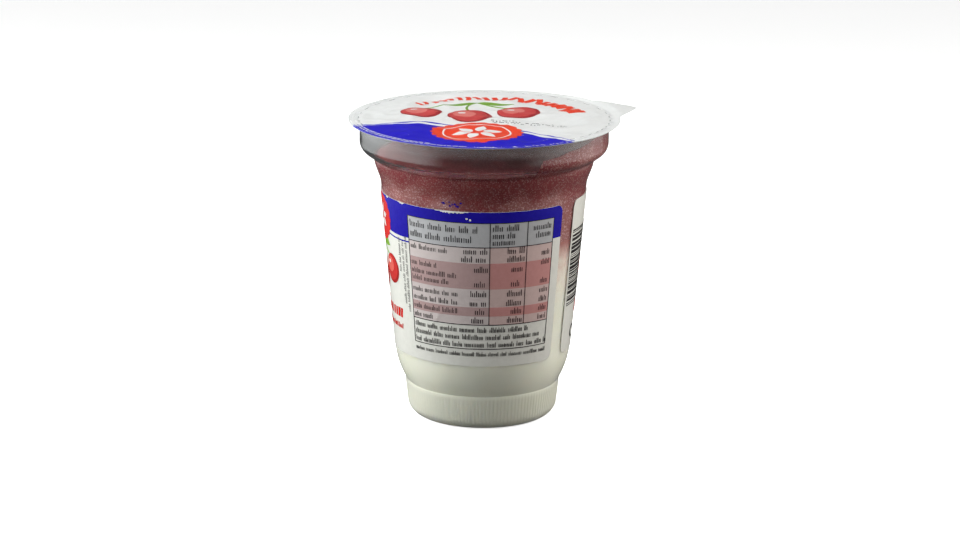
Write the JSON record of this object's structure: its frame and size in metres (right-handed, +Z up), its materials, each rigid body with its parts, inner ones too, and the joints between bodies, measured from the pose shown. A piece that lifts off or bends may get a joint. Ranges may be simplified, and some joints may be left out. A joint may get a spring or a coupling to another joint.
{
  "type": "milk dessert pot",
  "caption": "Clear flared cup holding set milk under a layer of fruit mousse, with a wraparound label and a heat-sealed foil lid with a pull tab.",
  "frame": {"origin": "centre of the cup's base, on the plane it stands on", "axes": "+Z up along the cup's axis; the lid's pull tab points half way between +X and +Y"},
  "size_m": [0.075, 0.075, 0.084],
  "materials": {
    "clear_cup": "clear thermoformed plastic",
    "set_milk": "smooth set milk cream",
    "fruit_mousse": "fine bubbly mousse",
    "printed_film": "satin printed film",
    "printed_foil": "white lacquered and printed foil"
  },
  "bodies": {
    "root": {"pot": "clear_cup", "milk_layer": "set_milk", "fruit_layer": "fruit_mousse", "label": "printed_film", "lid": "printed_foil"}
  },
  "joints": []
}
